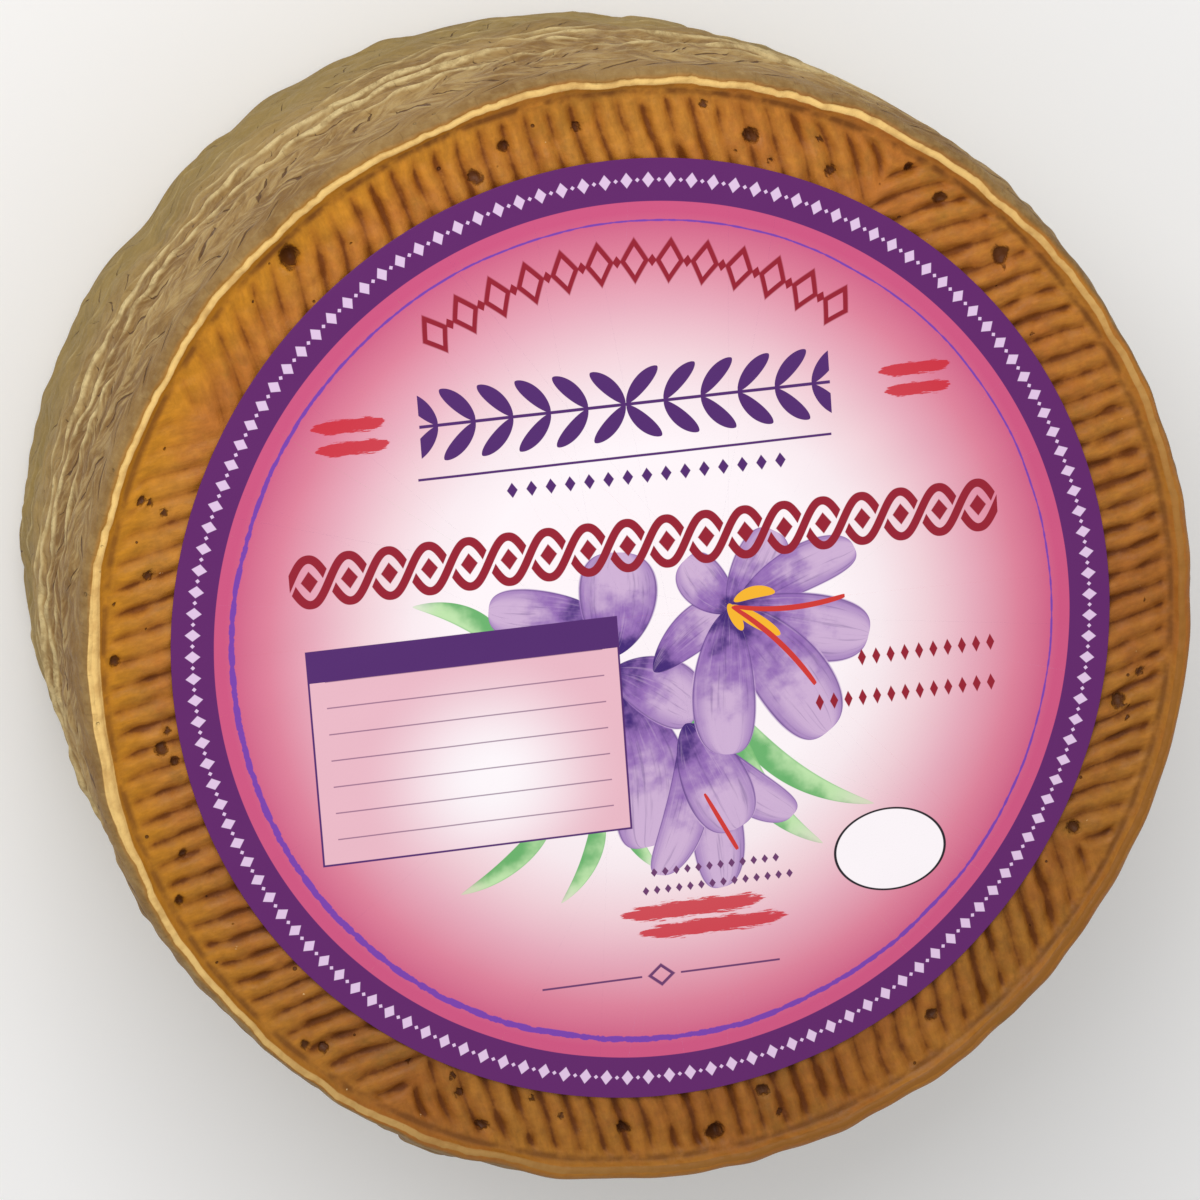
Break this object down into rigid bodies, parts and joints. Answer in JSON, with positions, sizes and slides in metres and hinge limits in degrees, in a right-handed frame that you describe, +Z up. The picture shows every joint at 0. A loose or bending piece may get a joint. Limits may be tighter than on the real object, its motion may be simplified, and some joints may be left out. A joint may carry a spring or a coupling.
{
  "type": "cheese wheel",
  "caption": "Whole pressed cheese wheel with woven-band marks on its side, ridged faces inside a thin raised lip, and a round paper label glued to the upper face.",
  "frame": {"origin": "middle of the lower face, on the plane that the wheel rests on", "axes": "+Z up through the middle of both faces, towards the label; +X along the label's reading direction; +Y towards the label's top"},
  "size_m": [0.2032, 0.2032, 0.095],
  "materials": {
    "rind": "oiled natural cheese rind, golden brown on the faces and greyer on the side, with dark grooves, small holes and a faint waxy sheen",
    "label_paper": "smooth satin printed paper, pink with a purple border"
  },
  "bodies": {
    "root": {"cheese_wheel": "rind", "paper_label": "label_paper"}
  },
  "joints": []
}
